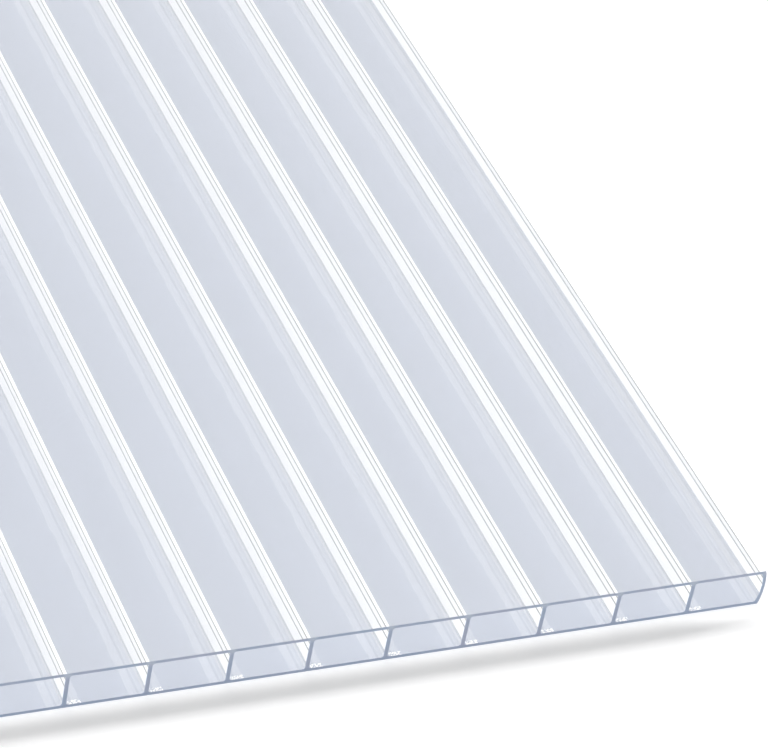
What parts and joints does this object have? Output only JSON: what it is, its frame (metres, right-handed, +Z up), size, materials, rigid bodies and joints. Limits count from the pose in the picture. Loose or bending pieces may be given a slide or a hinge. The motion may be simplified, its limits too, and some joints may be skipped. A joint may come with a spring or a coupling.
{
  "type": "multiwall polycarbonate sheet",
  "caption": "Flat see-through twin-wall plastic sheet with open chambers along its length, for glazing roofs, greenhouses and partitions.",
  "frame": {"origin": "middle of the underside, on the surface that the sheet lies on", "axes": "+X across the chambers, +Y along the chambers, +Z up out of the top skin"},
  "size_m": [1.2, 2, 0.016],
  "materials": {
    "clear_polycarbonate": "clear extruded polycarbonate, glossy skins, blue-grey in its cut ends"
  },
  "bodies": {
    "root": {"twinwall_sheet": "clear_polycarbonate"}
  },
  "joints": []
}
